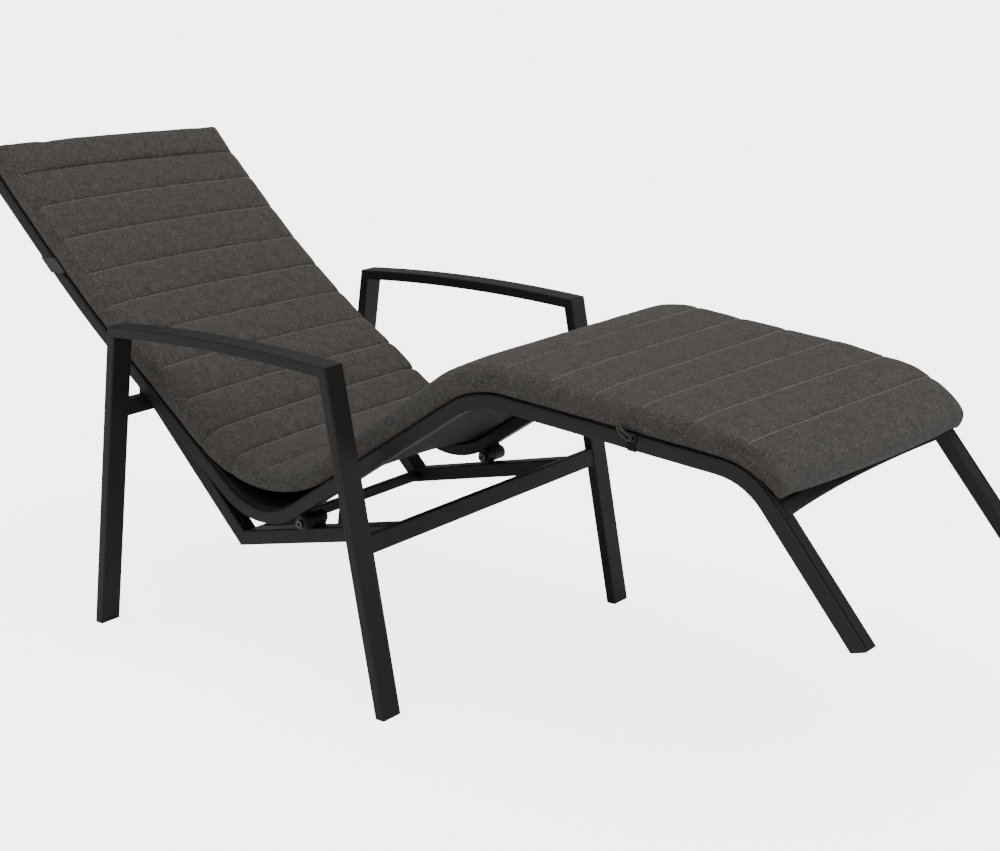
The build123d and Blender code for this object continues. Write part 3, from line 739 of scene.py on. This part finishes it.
cushion_cloth, shader = material("cushion_cloth")
tree = cushion_cloth.node_tree
laid = add(tree, "ShaderNodeUVMap")
laid.uv_map = "cloth"
heather = add(tree, "ShaderNodeTexNoise", Scale=48.0, Detail=9.0, Roughness=0.78)
tree.links.new(laid.outputs["UV"], heather.inputs["Vector"])
flecked = two_tones(
    tree, heather.outputs["Fac"], (0.0250, 0.0222, 0.0200), (0.0540, 0.0485, 0.0435), (0.34, 0.66)
)
fleck_tone = (0.128, 0.116, 0.105, 1)
for turn, across_it, along_it, paleness in (
    (0.5, 620, 130, 0.8), (1.9, 560, 115, 0.8), (-0.7, 700, 170, 0.7)
):
    turned_cloth = add(tree, "ShaderNodeMapping", Rotation=(0, 0, turn))
    stretched = add(tree, "ShaderNodeMapping", Scale=(across_it, along_it, 1))
    flecks = add(tree, "ShaderNodeTexNoise", Scale=1.0, Detail=3.0, Roughness=0.6, Distortion=0.2)
    share = add(tree, "ShaderNodeMapRange", From_Min=0.57, From_Max=0.70, To_Max=paleness)
    mixed = add(tree, "ShaderNodeMix")
    mixed.data_type = "RGBA"
    under_tone, over_tone, mixed_tone = mixed.inputs[6], mixed.inputs[7], mixed.outputs[2]
    over_tone.default_value = fleck_tone
    tree.links.new(laid.outputs["UV"], turned_cloth.inputs["Vector"])
    tree.links.new(turned_cloth.outputs["Vector"], stretched.inputs["Vector"])
    tree.links.new(stretched.outputs["Vector"], flecks.inputs["Vector"])
    tree.links.new(flecks.outputs["Fac"], share.inputs["Value"])
    tree.links.new(share.outputs["Result"], mixed.inputs["Factor"])
    tree.links.new(flecked, under_tone)
    flecked = mixed_tone
tree.links.new(flecked, shader.inputs["Base Color"])
rumples = add(tree, "ShaderNodeTexNoise", Scale=110.0, Detail=4.0)
tree.links.new(laid.outputs["UV"], rumples.inputs["Vector"])
rumpled = bumped(tree, rumples.outputs["Fac"], 0.5, 0.0012)
woven(tree, shader, threads_per_metre=1150, slack=0.5, depth=0.00035, normal=rumpled)
shader.inputs["Roughness"].default_value = 0.92
shader.inputs["Specular IOR Level"].default_value = 0.3
shader.inputs["Sheen Weight"].default_value = 0.06
shader.inputs["Sheen Roughness"].default_value = 0.5
cushion.data.materials.clear()
cushion.data.materials.append(cushion_cloth)
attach(cushion, "seat")
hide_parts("cushion")


# Quilting thread: a thick twisted polyester, a little paler than the cloth. It is sewn right
# through the cushion in short straight stitches that lie in the seams' creases.
def quilting_stitches():
    """Short thread stitches along each seam, lying in its crease, a needle's width apart."""
    length, spacing, thread = 0.0052, 0.0064, 0.00085
    stitched_half = seam_half - 0.007
    sides, rings = 6, 5
    around = np.linspace(0, tau, sides, endpoint=False)
    stitches = []
    for seam in seams:
        row = np.nonzero((np.abs(places[:, 0] - seam) < 1e-5) & (places[:, 2] > 0.5))[0]
        row = row[np.argsort(places[row, 1])]
        for start in np.arange(-stitched_half, stitched_half - length, spacing):
            steps = np.linspace(start, start + length, rings)
            middle = np.stack(
                [np.interp(steps, places[row, 1], points[row, axis]) for axis in range(3)], axis=1
            )
            up = normals[row[np.searchsorted(places[row, 1], start + length / 2)]]
            knee_crease = bell(seam, 1.34, 0.09) * np.clip(0.7 - start * 3, 0, 1)
            sunk = 0.0004 + 0.0009 * noise.noise((seam * 40, start * 22, 0)) + 0.0010 * knee_crease
            middle += up * (0.0006 - sunk - 0.0014 * np.linspace(-1, 1, rings)[:, None] ** 4)
            way = (middle[-1] - middle[0]) / length
            side = np.cross(way, up)
            ring = thread * (np.cos(around)[:, None] * side + np.sin(around)[:, None] * up)
            stitches.append(middle[:, None] + ring[None])
    loops = np.concatenate([stitch.reshape(-1, 3) for stitch in stitches])
    faces = []
    for first in range(0, len(loops), rings * sides):
        for ring in range(rings - 1):
            for side in range(sides):
                a = first + ring * sides + side
                b = first + ring * sides + (side + 1) % sides
                faces.append((a, a + sides, b + sides, b))
    return loops, faces


quilting_thread, shader = material("quilting_thread")
tree = quilting_thread.node_tree
place = add(tree, "ShaderNodeTexCoord")
twist = add(tree, "ShaderNodeTexNoise", Scale=2200.0, Detail=2.0)
tree.links.new(place.outputs["Object"], twist.inputs["Vector"])
thread_tones = two_tones(
    tree, twist.outputs["Fac"], (0.125, 0.113, 0.102), (0.210, 0.190, 0.171)
)
tree.links.new(thread_tones, shader.inputs["Base Color"])
tree.links.new(bumped(tree, twist.outputs["Fac"], 0.5, 0.0002), shader.inputs["Normal"])
shader.inputs["Roughness"].default_value = 0.7
stitches = mesh_object("quilting_stitches", *quilting_stitches(), quilting_thread)
stitches.data.shade_smooth()
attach(stitches, "seat")

# Head strap: grey webbing sewn to both sides of the cushion, led slantwise down round the rails
# and across under them, which stops the cushion sliding down the back.
seat_half = 0.2544
rail_under = -0.0113
cushion_skin = BVHTree.FromObject(cushion, bpy.context.evaluated_depsgraph_get())


def strap_path(thickness, sewn_to, sag):
    """Places across and over the rails' line: down one side, under both rails and up the other."""
    clearance, proud, corner = 0.0003, 0.0004, 0.0030
    outside = seat_half + clearance + thickness / 2
    below = rail_under - thickness / 2
    near = [(outside + proud, height) for height in np.linspace(sewn_to, 0.006, 9)]
    near += [(outside, height) for height in np.linspace(0.003, below + corner, 5)]
    near += [
        (outside - corner + corner * cos(turn), below + corner - corner * sin(turn))
        for turn in np.linspace(0.3, 1.57, 5)
    ]
    half = 0.244
    under = [(y, below - sag * (1 - (y / 0.245) ** 2)) for y in np.linspace(half, -half, 41)]
    far = [(-y, height) for y, height in reversed(near)]
    return [(-y, height) for y, height in near + under + far]


def strap_band(name, centre, width, thickness, sewn_to, slant, sag, finish):
    """A strap on its path, slantwise down the sides and close to the cushion's skin."""
    columns = 11
    on_cushion = 0.012
    rows = []
    for y, height in strap_path(thickness, sewn_to, sag):
        lean = slant * max(0, height - rail_under)
        places = centre + lean + np.linspace(-width / 2, width / 2, columns)
        row = seat_points(rail_line, places, height, y)
        if height > on_cushion:
            side = -1 if y < 0 else 1
            for point in row:
                beside = Vector((point[0], side * 0.3, point[2]))
                skin, *_ = cushion_skin.ray_cast(beside, Vector((0, -side, 0)))
                if skin is not None:
                    point[1] = side * max(abs(point[1]), abs(skin.y) + thickness * 0.6)
        rows.append(row)
    rows = np.array(rows)
    band = thin_sheet(name, rows[:, ::-1], thickness, finish)
    lengths = np.linalg.norm(np.diff(rows[:, columns // 2], axis=0), axis=1)
    along = np.concatenate([[0], np.cumsum(lengths)])
    corners = face_corners(band) % (len(rows) * columns)
    lay_flat(band, (corners % columns) * width / (columns - 1), along[corners // columns])
    return band


# The darker of its two tones is painted shade between the threads.
grey_webbing = woven_finish(
    "grey_webbing", (0.040, 0.042, 0.042), (0.075, 0.078, 0.078),
    threads_per_metre=620, slack=0.2, depth=0.0005, roughness=0.8,
)
head_band = strap_band(
    "head_strap_band", centre=0.205, width=0.035, thickness=0.0015, sewn_to=0.0175, slant=0.95,
    sag=0.003, finish=grey_webbing,
)
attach(head_band, "seat")
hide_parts("head_strap")

# Leg-rest strap: black webbing under the rails, with a moulded ring at each end that a rolled loop
# of the cushion's own cloth is caught on.
# The darker of its two tones is painted shade between the threads.
black_webbing = woven_finish(
    "black_webbing", (0.006, 0.006, 0.006), (0.014, 0.014, 0.014),
    threads_per_metre=620, slack=0.2, depth=0.0005, roughness=0.8,
)
leg_rest_strap_place = 1.643
leg_rest_band = strap_band(
    "leg_rest_strap_band", centre=leg_rest_strap_place, width=0.012, thickness=0.0012,
    sewn_to=0.008, slant=0.0, sag=0.002, finish=black_webbing,
)
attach(leg_rest_band, "seat")
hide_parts("leg_rest_strap")


def closed_rows(name, rows, joined, finish):
    """A tube of closed rows of points, joined end to end as a ring or closed by caps."""
    count = len(rows[0])
    starts = [row * count for row in range(len(rows))]
    faces = []
    for here, following in zip(starts, starts[1:] + starts[:1] * joined):
        for place in range(count):
            beside = (place + 1) % count
            faces.append((here + place, here + beside, following + beside, following + place))
    if not joined:
        faces.append(tuple(range(count))[::-1])
        faces.append(tuple(starts[-1] + place for place in range(count)))
    made = mesh_object(name, np.concatenate(rows), faces, finish)
    corners = face_corners(made)
    apart = 0.001
    lay_flat(made, corners % count * apart, corners // count * apart)
    turned = bmesh.new()
    turned.from_mesh(made.data)
    bmesh.ops.recalc_face_normals(turned, faces=turned.faces)
    turned.to_mesh(made.data)
    turned.free()
    made.data.shade_smooth()
    return made


def ring_rows(side):
    """The flat ring's rounded outer wall, then its inner one, as rows of points round it."""
    around = np.linspace(0, tau, 40, endpoint=False)
    across, over = (
        np.sign(wave) * np.abs(wave) ** 0.4 for wave in (np.cos(around), np.sin(around))
    )
    height, out, edge, half_thickness = 0.0085, 0.2582, 0.0009, 0.0008
    rows = []
    for half_length, half_height, way in ((0.0085, 0.0060, 1), (0.0058, 0.0021, -1)):
        for turn in np.linspace(-pi / 2, pi / 2, 5) * way:
            rounding = way * edge * (cos(turn) - 1)
            rows.append(seat_points(
                rail_line,
                leg_rest_strap_place + (half_length + rounding) * across,
                height + (half_height + rounding) * over,
                side * (out + half_thickness * np.sign(turn) + edge * sin(turn)),
            ))
    return rows


def loop_rows(side):
    """The rolled loop: out of the cushion's side, down, through the ring and back up."""
    path = np.array([
        (1.614, 0.0175, 0.2500), (1.621, 0.0135, 0.2575), (1.632, 0.0065, 0.2600),
        (1.6415, 0.0040, 0.2605), (1.6460, 0.0080, 0.2600), (1.6400, 0.0120, 0.2605),
        (1.632, 0.0145, 0.2600), (1.625, 0.0170, 0.2575), (1.620, 0.0190, 0.2500),
    ])
    for _ in range(3):
        before, after = path[:-1], path[1:]
        cut = np.stack([0.75 * before + 0.25 * after, 0.25 * before + 0.75 * after], axis=1)
        path = np.concatenate([path[:1], cut.reshape(-1, 3), path[-1:]])
    centres = seat_points(rail_line, path[:, 0], path[:, 1], side * path[:, 2])
    ways = np.gradient(centres, axis=0)
    outward = np.cross(ways, (0, 1, 0))
    outward /= np.linalg.norm(outward, axis=1, keepdims=True)
    upward = np.cross(outward, ways)
    upward /= np.linalg.norm(upward, axis=1, keepdims=True)
    around = np.linspace(0, tau, 10, endpoint=False)[:, None]
    half_thickness = 0.0017
    return [
        centre + half_thickness * (np.cos(around) * out + np.sin(around) * over)
        for centre, out, over in zip(centres, outward, upward)
    ]


for name, side in (("left", 1), ("right", -1)):
    ring = closed_rows(f"{name}_strap_ring", ring_rows(side), True, cap_plastic)
    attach(ring, "seat")
    loop = closed_rows(f"{name}_cloth_loop", loop_rows(side), False, cushion_cloth)
    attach(loop, "seat")
